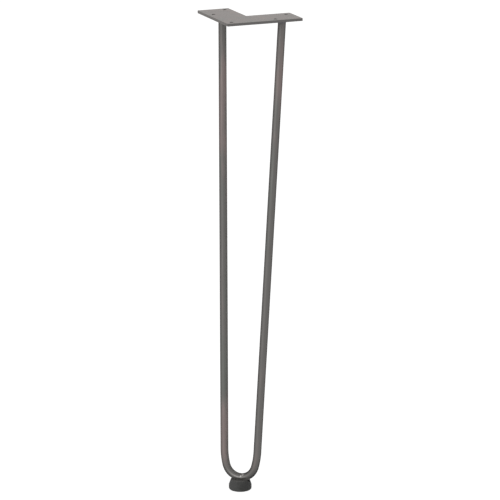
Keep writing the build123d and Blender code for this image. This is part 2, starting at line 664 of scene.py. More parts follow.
@dataclass(frozen=True)
class BareSteel(Finish):
    """Dark bare steel under a thin satin lacquer, discoloured beside the welds.

    Attributes:
        edge_tint: how much of the gloss at a flat angle is kept, as a colour.
        heat_reach: how far from a weld the steel is discoloured.
    """

    base: Colour = tone(107, 105, 103)
    warm: Colour = tone(126, 115, 113)
    cool: Colour = tone(104, 105, 102)
    stretch: Triple = (45.0,) * 3
    grain: Triple = (900.0,) * 3
    roughness: Span = (0.3, 0.42)
    seed: float = 1.0
    patches: float = 0.9
    grain_seed: float = 5.0
    relief: float = 0.02 * MM
    relief_strength: float = 0.6
    edge_tint: Colour = (0.02, 0.02, 0.02, 1.0)
    heat_reach: float = 9 * MM

    def weld_distance(self, graph: Graph) -> Socket | float:
        """Distance from the nearest weld."""
        raise NotImplementedError

    def colour(self, graph: Graph, effects: Effects, where: Socket) -> Socket:
        """Patched tone with the discoloured steel beside the welds."""
        heat = {"color": super().colour(graph, effects, where), "distance": self.weld_distance(graph)}
        return effects.heat.place(graph, **heat, reach=self.heat_reach, vector=where, seed=self.seed)

    def sockets(self, graph: Graph, effects: Effects) -> dict[str, Any]:
        """The shader's inputs, as metal."""
        return super().sockets(graph, effects) | {"Metallic": 1.0, "Specular Tint": self.edge_tint}


@dataclass(frozen=True)
class BarSteel(BareSteel):
    """Drawn round bar: the pattern runs along it, with painted shade underneath and painted glints on
    the bend, and grime where it sits in the foot, painted paler so that it also lights the shade there.

    Attributes:
        weld_height: Z of the welds at the bar's tops.
        seat_height: Z of the foot's top.
        plain_rise: heights above the foot over which the patches fade in.
        plain_tops: amount of the patches, by the distance below the welds.
        shift: how far the pattern is moved along the bar.
        bend_dullness: how rough the bend is, where the bars beside it are 1.
        underside: painted shade on the bar's downward faces, a darker tone than the steel.
        under: share of that painted shade, by the upward part of the normal.
        beside: the same for the fainter painted shade on the bend's sides.
        marks: places and radius of the painted glints in millimetres, from the foot's top.
        glint_edge: shares of a glint's radius over which it fades.
        glint_clouds: clouds per metre along a glint's edge.
        glint_wander: how far that edge wanders.
        wear_and_glint: tone of the painted glints, paler than the steel to stand in for highlights on the
            bend.
        dirt_and_painted_light: tone of the grime at the seat, painted paler so that it lights the shade
            under the bend.
        dirt_reach: how far above the foot that grime reaches.
        dirt_specks: specks of grime per metre.
        dirt_limits: limits in the noise of the specks.
        dirt_under: share of the grime, by the upward part of the normal.
        dirt_metal: how metallic the steel is without and with grime.
    """

    roughness: Span = (0.52, 0.62)
    stretch: Triple = (45.0, 45.0, 7.27)
    grain: Triple = (1400.0, 1400.0, 30.0)
    weld_height: float = 0.0
    seat_height: float = 0.0
    plain_rise: Span = (12 * MM, 36 * MM)
    plain_tops: Step = (10 * MM, 50 * MM, 0.4, 0.9)
    shift: float = 38 * MM
    bend_dullness: float = 0.72
    underside: Colour = tone(66, 65, 64)
    under: Step = (-0.5, 0.1, 1.0, 0.0)
    beside: Step = (-0.3, 0.4, 0.55, 0.12)
    marks: tuple[tuple[float, ...], ...] = ((1.6, -6.1, 8.6, 2.5), (-1.6, -5.5, 6.4, 1.5))
    glint_edge: Span = (0.2, 1.1)
    glint_clouds: float = 700.0
    glint_wander: float = 4 * MM
    wear_and_glint: Colour = tone(174, 172, 169)
    dirt_and_painted_light: Colour = tone(128, 126, 123)
    dirt_reach: float = 6 * MM
    dirt_specks: float = 300.0
    dirt_limits: Span = (-0.3, 0.4)
    dirt_under: Step = (-0.6, 0.0, 1.0, 0.0)
    dirt_metal: Span = (1.0, 0.1)

    def where(self, graph: Graph) -> Socket:
        """Place round and along the bar, which the sweep stores."""
        place = graph.add("ShaderNodeAttribute", attribute_name=BentBar.PLACE).outputs["Vector"]
        return graph.vector("SUBTRACT", place, (0.0, 0.0, self.shift))

    def weld_distance(self, graph: Graph) -> Socket:
        """Distance below the tops of the bar."""
        return graph.math("SUBTRACT", self.weld_height, graph.split(graph.spot("Object"))[2])

    def above_bend(self, graph: Graph, low: Any, high: Any) -> Socket:
        """Value that goes from a low one on the bend to a high one on the straight legs."""
        plain, full = (self.seat_height + rise for rise in self.plain_rise)
        return graph.fade(graph.split(graph.spot("Object"))[2], plain, full, low, high)

    def amount(self, graph: Graph) -> Socket:
        """How strongly the patches show, which is not at all on the bend and little at the tops."""
        return self.above_bend(graph, 0.0, graph.fade(self.weld_distance(graph), *self.plain_tops))

    def dullness(self, graph: Graph, fine: Socket) -> Socket:
        """Roughness, less on the bend."""
        share = self.above_bend(graph, self.bend_dullness, 1.0)
        return graph.math("MULTIPLY", super().dullness(graph, fine), share)

    def painted_glints(self, graph: Graph) -> Socket:
        """Mask of the painted glints on the bend, which are ragged at the edge.

        Args:
            graph: the material's graph.

        Returns:
            Socket from 0 beside the marks to 1 in their middle.
        """
        where = graph.spot("Object")
        cloud = graph.noise(graph.scaled(where, self.glint_clouds), self.seed, detail=3.0)
        ragged = graph.swing(cloud, self.glint_wander)
        masks = []
        for x, y, rise, radius in self.marks:
            middle = Vector((x, y, rise)) * MM + Vector((0, 0, self.seat_height))
            apart = graph.math("ADD", graph.distance(where, middle), ragged)
            inner, outer = (share * radius * MM for share in self.glint_edge)
            masks.append(graph.fade(apart, inner, outer, 1.0, 0.0))
        return graph.math("MAXIMUM", *masks)

    def sockets(self, graph: Graph, effects: Effects) -> dict[str, Any]:
        """Work out the shader's inputs, with painted shade underneath, painted glints, and grime at the
        seat painted paler to light the shade.

        Args:
            graph: the material's graph.
            effects: shared node groups.

        Returns:
            Value or source socket of each input that the finish sets.
        """
        found = super().sockets(graph, effects)
        # Painted shade: downward faces, and on the bend its sides too, take the darker underside tone.
        level = graph.split(graph.spot("Normal"))[2]
        sides = self.above_bend(graph, graph.fade(level, *self.beside), 0.0)
        low = graph.math("MAXIMUM", graph.fade(level, *self.under), sides)
        shaded = graph.blend(low, found["Base Color"], self.underside)
        # Painted glints: paler spots on the bend stand in for its highlights.
        clean = graph.blend(self.painted_glints(graph), shaded, self.wear_and_glint)
        # Grime at the seat, painted paler than the steel so that it also lights the shade under the bend.
        rare, dense = self.dirt_limits
        specks = {"stretch": (self.dirt_specks,) * 3, "seed": self.seed, "low": rare, "high": dense}
        seat = {"level": self.seat_height, "reach": self.dirt_reach}
        dust_and_painted_light = effects.residue.place(graph, vector=graph.spot("Object"), **seat, **specks)
        dirt_and_painted_light_share = graph.math("MULTIPLY", dust_and_painted_light, graph.fade(level, *self.dirt_under))
        metal = graph.fade(dirt_and_painted_light_share, 0.0, 1.0, *self.dirt_metal)
        return found | {"Base Color": graph.blend(dirt_and_painted_light_share, clean, self.dirt_and_painted_light), "Metallic": metal}


@dataclass(frozen=True)
class PlateSteel(BareSteel):
    """Flat plate with worn edges, discoloured on its underside round the two welds.

    Attributes:
        welds: places of the welds on the underside.
        toe: radius of a weld.
        thickness: the plate's thickness.
        heated: heights over which the heat's tones end, in thicknesses of the plate.
        wear_and_glint: tone of the worn edges.
        rub_scale: rubbed places per metre.
        rub_seed: how far the seed of the worn places lies from that of the patches.
        cut: tone of the upright cut edges.
        upright: share of that tone, by the upward part of the normal.
    """

    base: Colour = tone(110, 106, 105)
    warm: Colour = tone(117, 109, 106)
    cool: Colour = tone(104, 105, 103)
    edge_tint: Colour = (1.0, 0.97, 0.95, 1.0)
    relief: float = 0.006 * MM
    welds: tuple[Vector, ...] = ()
    toe: float = 0.0
    thickness: float = 0.0
    heated: Span = (-0.9, -0.5)
    wear_and_glint: Colour = tone(126, 123, 120)
    rub_scale: float = 260.0
    rub_seed: float = 9.0
    cut: Colour = tone(97, 95, 94)
    upright: Step = (0.15, 0.5, 1.0, 0.0)

    def weld_distance(self, graph: Graph) -> Socket:
        """Distance from the nearer weld's toe, made far above the plate's underside.

        Args:
            graph: the material's graph.

        Returns:
            Socket with the distance.
        """
        where = graph.spot("Object")
        nearer = graph.math("MINIMUM", *(graph.distance(where, weld) for weld in self.welds))
        limits = (share * self.thickness for share in self.heated)
        above = graph.fade(graph.split(where)[2], *limits)
        return graph.math("ADD", graph.math("SUBTRACT", nearer, self.toe), above)

    def colour(self, graph: Graph, effects: Effects, where: Socket) -> Socket:
        """Patched tone with dark cut edges, worn where they are broken.

        Args:
            graph: the material's graph.
            effects: shared node groups.
            where: place that the pattern follows.

        Returns:
            Colour socket.
        """
        normal = graph.spot("Normal")
        level = graph.math("ABSOLUTE", graph.split(normal)[2])
        upright = graph.fade(level, *self.upright)
        steel = graph.blend(upright, super().colour(graph, effects, where), self.cut)
        rub = {"scale": self.rub_scale, "seed": self.seed + self.rub_seed}
        worn = effects.wear.place(graph, normal=normal, vector=where, **rub)
        return graph.blend(worn, steel, self.wear_and_glint)


@dataclass(frozen=True)
class WeldSteel(BareSteel):
    """Weld metal, brown and blue from its own heat.

    Attributes:
        heat_share: share of the heat's reach whose tones the bead has, past the dark scale.
    """

    base: Colour = tone(92, 86, 80)
    warm: Colour = tone(104, 84, 66)
    cool: Colour = tone(78, 82, 98)
    stretch: Triple = (320.0,) * 3
    roughness: Span = (0.3, 0.5)
    heat_share: float = 0.6

    def weld_distance(self, graph: Graph) -> float:
        """Distance for the heat's tones, the same all over the bead."""
        return self.heat_share * self.heat_reach


@dataclass(frozen=True)
class MouldedRubber(Finish):
    """Charcoal rubber with a fine moulded grain and a dusty lower edge.

    Attributes:
        gloss: strength of the reflection.
        dust_and_painted_light: tone of the top: dust, painted paler so that it lights the shade there.
        level: upward parts of the normal over which that tone fades in.
        dust: tone of the dust above the floor.
        floor: Z of the floor.
        dust_height: how far up the dust reaches.
        dust_specks: specks of dust per metre.
        dust_limits: limits in the noise of the specks.
        dust_seed: how far the seed of the dust lies from that of the patches.
        shade: tone inside the notch, where no light gets in.
    """

    base: Colour = tone(66, 66, 65)
    warm: Colour = tone(83, 83, 82)
    cool: Colour = tone(64, 64, 62)
    stretch: Triple = (40.0,) * 3
    grain: Triple = (2600.0,) * 3
    roughness: Span = (0.6, 0.72)
    seed: float = 879.52
    grain_limits: Span = (0.25, 0.75)
    relief: float = 0.05 * MM
    gloss: float = 0.22
    dust_and_painted_light: Colour = tone(102, 101, 99)
    level: Span = (0.5, 0.95)
    dust: Colour = tone(70, 69, 66)
    floor: float = 0.0
    dust_height: float = 1.6 * MM
    dust_specks: float = 700.0
    dust_limits: Span = (0.25, 0.6)
    dust_seed: float = 2.0
    shade: Colour = tone(28, 28, 27)

    def colour(self, graph: Graph, effects: Effects, where: Socket) -> Socket:
        """Patched tone with dust and painted light on the top, dust above the floor, and shade in the
        notch.

        Args:
            graph: the material's graph.
            effects: shared node groups.
            where: place that the pattern follows.

        Returns:
            Colour socket.
        """
        # Painted light: upward faces take a paler tone, partly dust, that lifts the shade on the top.
        above = graph.fade(graph.split(graph.spot("Normal"))[2], *self.level)
        topped = graph.blend(above, super().colour(graph, effects, where), self.dust_and_painted_light)
        rare, dense = self.dust_limits
        seed = self.seed + self.dust_seed
        specks = {"stretch": (self.dust_specks,) * 3, "seed": seed, "low": rare, "high": dense}
        base = {"level": self.floor, "reach": self.dust_height}
        dusty = effects.residue.place(graph, vector=where, **base, **specks)
        hollow = graph.add("ShaderNodeAttribute", attribute_name=RubberFoot.NOTCH).outputs["Fac"]
        return graph.blend(hollow, graph.blend(dusty, topped, self.dust), self.shade)

    def sockets(self, graph: Graph, effects: Effects) -> dict[str, Any]:
        """The shader's inputs, with little gloss."""
        return super().sockets(graph, effects) | {"Specular IOR Level": self.gloss}


@dataclass(frozen=True)
class ZincPlating(Finish):
    """Bright zinc on the hidden fasteners, with yellowish and bluish clouds."""

    base: Colour = tone(190, 190, 190)
    warm: Colour = tone(196, 190, 172)
    cool: Colour = tone(176, 184, 196)
    stretch: Triple = (420.0,) * 3
    grain: Triple = (1800.0,) * 3
    roughness: Span = (0.24, 0.4)
    seed: float = 7.0

    def sockets(self, graph: Graph, effects: Effects) -> dict[str, Any]:
        """The shader's inputs, as metal."""
        return super().sockets(graph, effects) | {"Metallic": 1.0}


@dataclass(frozen=True)
class Layout:
    """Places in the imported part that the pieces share.

    Attributes:
        plate: lowest and highest corner of the plate.
        welds: middles of the welds on the +X and the +Y arm, in the plate's underside.
        weld_radius: outer radius of a weld.
        foot: lowest and highest corner of the foot.
        washer: lowest and highest corner of the washer.
        screw: lowest and highest corner of the screw.
        saddle_depth: how deep the bend sits in the foot's top.
    """

    plate: Box
    welds: tuple[Vector, ...]
    weld_radius: float
    foot: Box
    washer: Box
    screw: Box
    saddle_depth: float = 3 * MM

    @classmethod
    def from_frame(cls) -> "Layout":
        """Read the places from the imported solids.

        Returns:
            The layout.
        """
        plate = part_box("mounting_plate")
        beads = [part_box(f"weld_bead_{arm}") for arm in "xy"]
        low, high = beads[-1]
        return cls(
            plate=plate,
            welds=tuple(Vector((*((a + b) / 2).xy, plate[0].z)) for a, b in beads),
            weld_radius=(high.x - low.x) / 2,
            foot=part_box("rubber_foot"),
            washer=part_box("foot_washer"),
            screw=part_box("foot_screw"),
        )

    @property
    def bend_underside(self) -> float:
        """Z of the bar's lowest point, before the hole is drilled."""
        return self.foot[1].z - self.saddle_depth


@dataclass
class PunchedPlate:
    """L-shaped plate with rounded corners, broken edges and plain screw holes.

    The arc of a corner has corner_parts pieces. An edge of more than edge_angle degrees is broken,
    edge_break wide and edge_parts pieces across.
    """

    layout: Layout
    arm_width: float = 50 * MM
    corner_radius: float = 1.5 * MM
    corner_parts: int = 8
    hole_sides: int = 40
    edge_break: float = 0.4 * MM
    edge_parts: int = 2
    edge_angle: float = 40.0

    def holes(self) -> tuple[list[Vector], float]:
        """Places and radius of the screw holes, from the record's mounts.

        Returns:
            One place for each hole, and the holes' radius.
        """
        ways = {"spacing_x_mm": (1, 0, 0), "spacing_y_mm": (0, 1, 0), "pcd_mm": (1, -1, 0)}
        places: list[Vector] = []
        radius = 0.0
        for mount in frame["record"]["mounts"]:
            dims = mount["dims"]
            for size in [name for name in ways if name in dims]:
                reach = Vector(ways[size]).normalized() * dims[size] * MM / 2
                places += [Vector(mount["pos_m"]) + side * reach for side in (-1, 1)]
                radius = dims["hole_r_mm"] * MM
        apart: list[Vector] = []
        for place in places:
            if all((place - other).length > radius for other in apart):
                apart.append(place)
        return apart, radius

    def sheet(self) -> Group:
        """Geometry nodes that cut the sheet: corners rounded, holes punched at the loose points.

        Returns:
            Group from the outline and hole marks to the finished sheet.
        """
        inputs = {
            "Geometry": ("Marks",),
            "Float": ("Thickness", "Corner Radius", "Hole Radius"),
            "Int": ("Corner Parts", "Hole Sides"),
            "Material": ("Material",),
        }
        group = Group("punched_sheet", Tree.GEOMETRY, inputs, ("Sheet", "Geometry"))
        graph, source = group.graph, group.source
        outline = graph.out("GeometryNodeMeshToCurve", {"Mesh": source["Marks"]})
        corner = {"Curve": outline, "Count": source["Corner Parts"], "Radius": source["Corner Radius"]}
        edge = graph.out("GeometryNodeFilletCurve", corner, mode="POLY")
        joined = graph.add("GeometryNodeInputMeshVertexNeighbors").outputs["Vertex Count"]
        loose = graph.out("FunctionNodeBooleanMath", {0: joined}, operation="NOT")
        marks = graph.out("GeometryNodeMeshToPoints", {"Mesh": source["Marks"], "Selection": loose})
        punch = {"Resolution": source["Hole Sides"], "Radius": source["Hole Radius"]}
        circle = graph.out("GeometryNodeCurvePrimitiveCircle", punch)
        holes = graph.out("GeometryNodeInstanceOnPoints", {"Points": marks, "Instance": circle})
        curves = graph.out("GeometryNodeRealizeInstances", {0: graph.together(edge, holes)})
        flat = graph.out("GeometryNodeFillCurve", {"Curve": curves})
        drop = {"Mesh": flat, "Offset": graph.join(0.0, 0.0, -1.0), "Individual": False}
        walls = graph.out("GeometryNodeExtrudeMesh", drop | {"Offset Scale": source["Thickness"]})
        block = {"Geometry": graph.together(walls, flat), "Distance": MERGE}
        return group.deliver_piece(graph.out("GeometryNodeMergeByDistance", block))

    def build(self, finish: Material) -> None:
        """Make the plate.

        Args:
            finish: the plate's material.
        """
        low, high = self.layout.plate
        inner_x, inner_y = low.x + self.arm_width, low.y + self.arm_width
        corners = [
            (low.x, low.y),
            (high.x, low.y),
            (high.x, inner_y),
            (inner_x, inner_y),
            (inner_x, high.y),
            (low.x, high.y),
        ]
        places, radius = self.holes()
        points = [Vector((x, y, high.z)) for x, y in corners] + places
        edges = [(i, (i + 1) % len(corners)) for i in range(len(corners))]
        piece = new_piece("plate", points, edges=edges)
        self.sheet().run(
            piece,
            thickness=high.z - low.z,
            corner_radius=self.corner_radius,
            corner_parts=self.corner_parts,
            hole_radius=radius,
            hole_sides=self.hole_sides,
            material=finish,
        )
        tidy_faces(piece, crease=180)
        bevel = piece.modifiers.new("broken_edges", "BEVEL")
        bevel.width = self.edge_break
        bevel.segments = self.edge_parts
        bevel.limit_method = "ANGLE"
        bevel.angle_limit = math.radians(self.edge_angle)
        piece.modifiers.new("flat_faces", "WEIGHTED_NORMAL").keep_sharp = True
        settle(piece)
        hand_over(piece, "mounting_plate")


@dataclass
class BentBar:
    """Round bar bent to a long narrow U, its tops cut flush with the plate.

    A tight bend runs into wide shoulders, which add shoulder_spread to half its width, and these into
    straight legs; parts counts the pieces along half the bend, a shoulder and a leg. The tapped hole
    in the bend leaves steel_over_hole above it. Its drill has a point of drill_angle degrees, with a
    radius of drill_tip left.
    """

    PLACE = "bar_coords"

    layout: Layout
    diameter: float = 12 * MM
    bend_radius: float = 24.5 * MM
    shoulder_radius: float = 110 * MM
    shoulder_spread: float = 2.9 * MM
    parts: tuple[int, int, int] = (40, 16, 80)
    sides: int = 48
    hole_diameter: float = 5.1 * MM
    hole_sides: int = 32
    steel_over_hole: float = 3 * MM
    drill_angle: float = 118.0
    drill_tip: float = 0.05 * MM

    def half_line(self, half_gap: float, height: float) -> Profile:
        """Centre line from the bend's lowest point up one leg, as (across, up).

        Args:
            half_gap: distance of the leg's top from the middle.
            height: height of the leg's top.

        Returns:
            Points along the bend, the shoulder and the straight leg, a bar's width past its top.
        """
        wider = self.shoulder_radius - self.bend_radius
        turn = math.asin(1 - self.shoulder_spread / wider)
        centre = (-wider * math.sin(turn), self.bend_radius + wider * math.cos(turn))
        over, up = half_gap - centre[0], height - centre[1]
        tilt = math.atan2(over, up) - math.asin(self.shoulder_radius / math.hypot(over, up))
        bend, shoulder, leg = self.parts
        line: Profile = []
        for angle in steps(0, turn, bend):
            line.append((self.bend_radius * math.sin(angle), self.bend_radius * (1 - math.cos(angle))))
        for angle in steps(turn, math.pi / 2 - tilt, shoulder)[1:]:
            across = centre[0] + self.shoulder_radius * math.sin(angle)
            line.append((across, centre[1] - self.shoulder_radius * math.cos(angle)))
        foot = line[-1]
        length = (height - foot[1]) / math.cos(tilt) + self.diameter
        for reach in steps(0, length, leg)[1:]:
            line.append((foot[0] + reach * math.sin(tilt), foot[1] + reach * math.cos(tilt)))
        return line

    def centre_line(self) -> list[Vector]:
        """Centre line from one top of the bar round the bend to the other.

        Returns:
            Points in the part's frame.
        """
        top_x, top_y = self.layout.welds
        lowest = Vector((0, 0, self.layout.bend_underside + self.diameter / 2))
        rise = (top_x + top_y) / 2 - lowest
        across = (top_x - top_y) / 2
        half = self.half_line(across.length, rise.length)
        flat = [(-a, u) for a, u in reversed(half[1:])] + half
        return [lowest + across.normalized() * a + rise.normalized() * u for a, u in flat]

    @staticmethod
    def keep(graph: Graph, curve: Any, kind: str, value: Any) -> bpy.types.Node:
        """Capture a value on a curve's points.

        Args:
            graph: the group's graph.
            curve: curve that carries the value.
            kind: the value's type.
            value: socket with the value.

        Returns:
            Node whose outputs are the curve and the kept value.
        """
        node = graph.add("GeometryNodeCaptureAttribute", {0: curve})
        node.capture_items.new(kind, "Kept")
        graph.feed(node.inputs["Kept"], value)
        return node

    def sweep(self) -> Group:
        """Geometry nodes that sweep the bar and store the place round and along it.

        Returns:
            Group from the centre line to the bar.
        """
        inputs = {
            "Geometry": ("Line",),
            "Float": ("Radius",),
            "Int": ("Sides",),
            "String": ("Place",),
            "Material": ("Material",),
        }
        group = Group("bar_sweep", Tree.GEOMETRY, inputs, ("Bar", "Geometry"))
        graph, source = group.graph, group.source
        line = graph.out("GeometryNodeMeshToCurve", {"Mesh": source["Line"]})
        circle = {"Resolution": source["Sides"], "Radius": source["Radius"]}
        section = graph.out("GeometryNodeCurvePrimitiveCircle", circle)
        length = graph.add("GeometryNodeSplineParameter").outputs["Length"]
        along = self.keep(graph, line, "FLOAT", length).outputs
        around = self.keep(graph, section, "VECTOR", graph.out("GeometryNodeInputPosition")).outputs
        swept = {"Curve": along[0], "Profile Curve": around[0], "Fill Caps": True}
        bar = graph.out("GeometryNodeCurveToMesh", swept)
        across, deep, _ = graph.split(around[1])
        place = graph.join(across, deep, along[1])
        stored = {"Geometry": bar, "Name": source["Place"], "Value": place}
        marked = graph.out("GeometryNodeStoreNamedAttribute", stored, data_type="FLOAT_VECTOR")
        return group.deliver_piece(marked)

    def trim(self, piece: Piece) -> None:
        """Cut the bar's tops off flush with the plate's underside.

        Args:
            piece: the swept bar.
        """
        shape = bmesh.new()
        shape.from_mesh(piece.data)
        whole = [*shape.verts, *shape.edges, *shape.faces]
        level = self.layout.welds[0]
        bmesh.ops.bisect_plane(shape, geom=whole, plane_co=level, plane_no=(0, 0, 1), clear_outer=True)
        rims = [edge for edge in shape.edges if edge.is_boundary]
        bmesh.ops.holes_fill(shape, edges=rims)
        shape.to_mesh(piece.data)
        shape.free()

    def drill(self) -> Piece:
        """Make the cutter for the blind hole in the bend's underside.

        Returns:
            The cutter.
        """
        radius = self.hole_diameter / 2
        mouth = self.layout.bend_underside - self.diameter / 2
        end = self.layout.bend_underside + self.diameter - self.steel_over_hole
        point = end + radius / math.tan(math.radians(self.drill_angle / 2))
        outline = [(radius, mouth), (radius, end), (self.drill_tip, point)]
        cutter = skin("drill", [ring(r, z, self.hole_sides) for r, z in outline], closed=False)
        tidy_faces(cutter)
        return cutter

    def build(self, finish: Material) -> Piece:
        """Make the bar.

        Args:
            finish: the bar's material.

        Returns:
            The finished piece.
        """
        piece = chain("bar", self.centre_line())
        section = {"radius": self.diameter / 2, "sides": self.sides}
        self.sweep().run(piece, **section, place=self.PLACE, material=finish)
        self.trim(piece)
        cutter = self.drill()
        cut = piece.modifiers.new("tapped_hole", "BOOLEAN")
        cut.operation = "DIFFERENCE"
        cut.solver = "EXACT"
        cut.object = cutter
        settle(piece)
        bpy.data.objects.remove(cutter)
        tidy_faces(piece)
        hand_over(piece, "hairpin_rod")
        return piece


@dataclass
class WeldBead:
    """Fillet welds with ripples, one round each top of the bar.

    The section is leg wide and high, its face bulges by crown, and it reaches into the bar by overlap.
    The mesh has mesh_points round the bar and round the section. A ripple trails by ripple_lag of its
    length in the middle of the face, and rises outwards and by ripple_drop as much downwards. The bead
    wanders by unevenness, and drift is the scale of that wandering.
    """

    layout: Layout
    leg: float = 2.5 * MM
    crown: float = 0.15 * MM
    overlap: float = 0.6 * MM
    face_parts: int = 12
    mesh_points: tuple[int, int] = (265, 33)
    ripples: int = 22
    ripple_height: float = 0.22 * MM
    ripple_lag: float = 0.35
    ripple_drop: float = 0.7
    unevenness: float = 0.25 * MM
    drift: float = 1.6

    def section(self) -> tuple[list[Vector], float]:
        """Section of the bead as (radius, 0, height below the plate).

        Returns:
            Points from the toe on the plate over the face and back through the bar, and the share of
            the outline that the face takes.
        """
        toe = self.layout.weld_radius
        face = []
        for share in steps(0, 1, self.face_parts):
            bulge = self.crown * math.sin(math.pi * share) / math.sqrt(2)
            face.append(Vector((toe - self.leg * share + bulge, 0, -self.leg * share - bulge)))
        inside = toe - self.leg - self.overlap
        hidden = [Vector((inside, 0, -self.leg)), Vector((inside, 0, 0))]
        loop = face + hidden + face[:1]
        lengths = [(b - a).length for a, b in zip(loop, loop[1:])]
        return loop, sum(lengths[: len(face) - 1]) / sum(lengths)

    def bead(self) -> Group:
        """Geometry nodes that turn the section round the bar and raise the ripples.

        Returns:
            Group from the section to the bead.
        """
        inputs = {
            "Geometry": ("Section",),
            "Vector": ("Middle",),
            "Float": ("Face Share", "Ripples", "Ripple Height", "Unevenness", "Seed"),
            "Material": ("Material",),
        }
        group = Group("weld_bead", Tree.GEOMETRY, inputs, ("Bead", "Geometry"))
        graph, source = group.graph, group.source
        section = graph.out("GeometryNodeMeshToCurve", {"Mesh": source["Section"]})
        columns, rows = self.mesh_points
        size = {"Size X": 1.0, "Size Y": 1.0, "Vertices X": columns, "Vertices Y": rows}
        grid = graph.out("GeometryNodeMeshGrid", size)
        spot = graph.split(graph.out("GeometryNodeInputPosition"))
        around, across = (graph.math("ADD", part, 0.5) for part in spot[:2])
        walk = {"Curves": section, "Factor": across}
        sample = graph.add("GeometryNodeSampleCurve", walk, mode="FACTOR", use_all_curves=True)
        reach, _, depth = graph.split(sample.outputs["Position"])
        angle = graph.math("MULTIPLY", around, FULL_TURN)
        flat = graph.join(graph.math("COSINE", angle), graph.math("SINE", angle), 0.0)
        share = graph.math("MINIMUM", graph.math("DIVIDE", across, source["Face Share"]), 1.0)
        swell = graph.math("SINE", graph.math("MULTIPLY", share, math.pi))
        lag = graph.math("MULTIPLY", swell, self.ripple_lag)
        beat = graph.math("ADD", graph.math("MULTIPLY", around, source["Ripples"]), lag)
        wave = graph.math("ABSOLUTE", graph.math("SINE", graph.math("MULTIPLY", beat, math.pi)))
        lift = graph.swing(wave, source["Ripple Height"])
        cloud = graph.noise(graph.scaled(flat, self.drift), source["Seed"], detail=1.0)
        wander = graph.swing(cloud, source["Unevenness"])
        raised = graph.math("MULTIPLY", graph.math("ADD", lift, wander), swell)
        turned = graph.vector("ADD", flat, (0.0, 0.0, 1.0))
        body = graph.vector("MULTIPLY", graph.join(reach, reach, depth), turned)
        way = graph.vector("SUBTRACT", flat, (0.0, 0.0, self.ripple_drop))
        place = graph.vector("ADD", graph.vector("ADD", body, graph.scaled(way, raised)), source["Middle"])
        moved = graph.out("GeometryNodeSetPosition", {"Geometry": grid, "Position": place})
        closed = graph.out("GeometryNodeMergeByDistance", {"Geometry": moved, "Distance": MERGE})
        return group.deliver_piece(closed)

    def build(self, finish: Material) -> None:
        """Make both beads.

        Args:
            finish: the weld's material.
        """
        loop, share = self.section()
        bead = self.bead()
        for seed, (arm, middle) in enumerate(zip("xy", self.layout.welds)):
            piece = chain(f"weld_{arm}", loop)
            bead.run(
                piece,
                middle=middle,
                face_share=share,
                ripples=float(self.ripples),
                ripple_height=self.ripple_height,
                unevenness=self.unevenness,
                seed=float(seed),
                material=finish,
            )
            tidy_faces(piece, crease=60)
            hand_over(piece, f"weld_bead_{arm}")


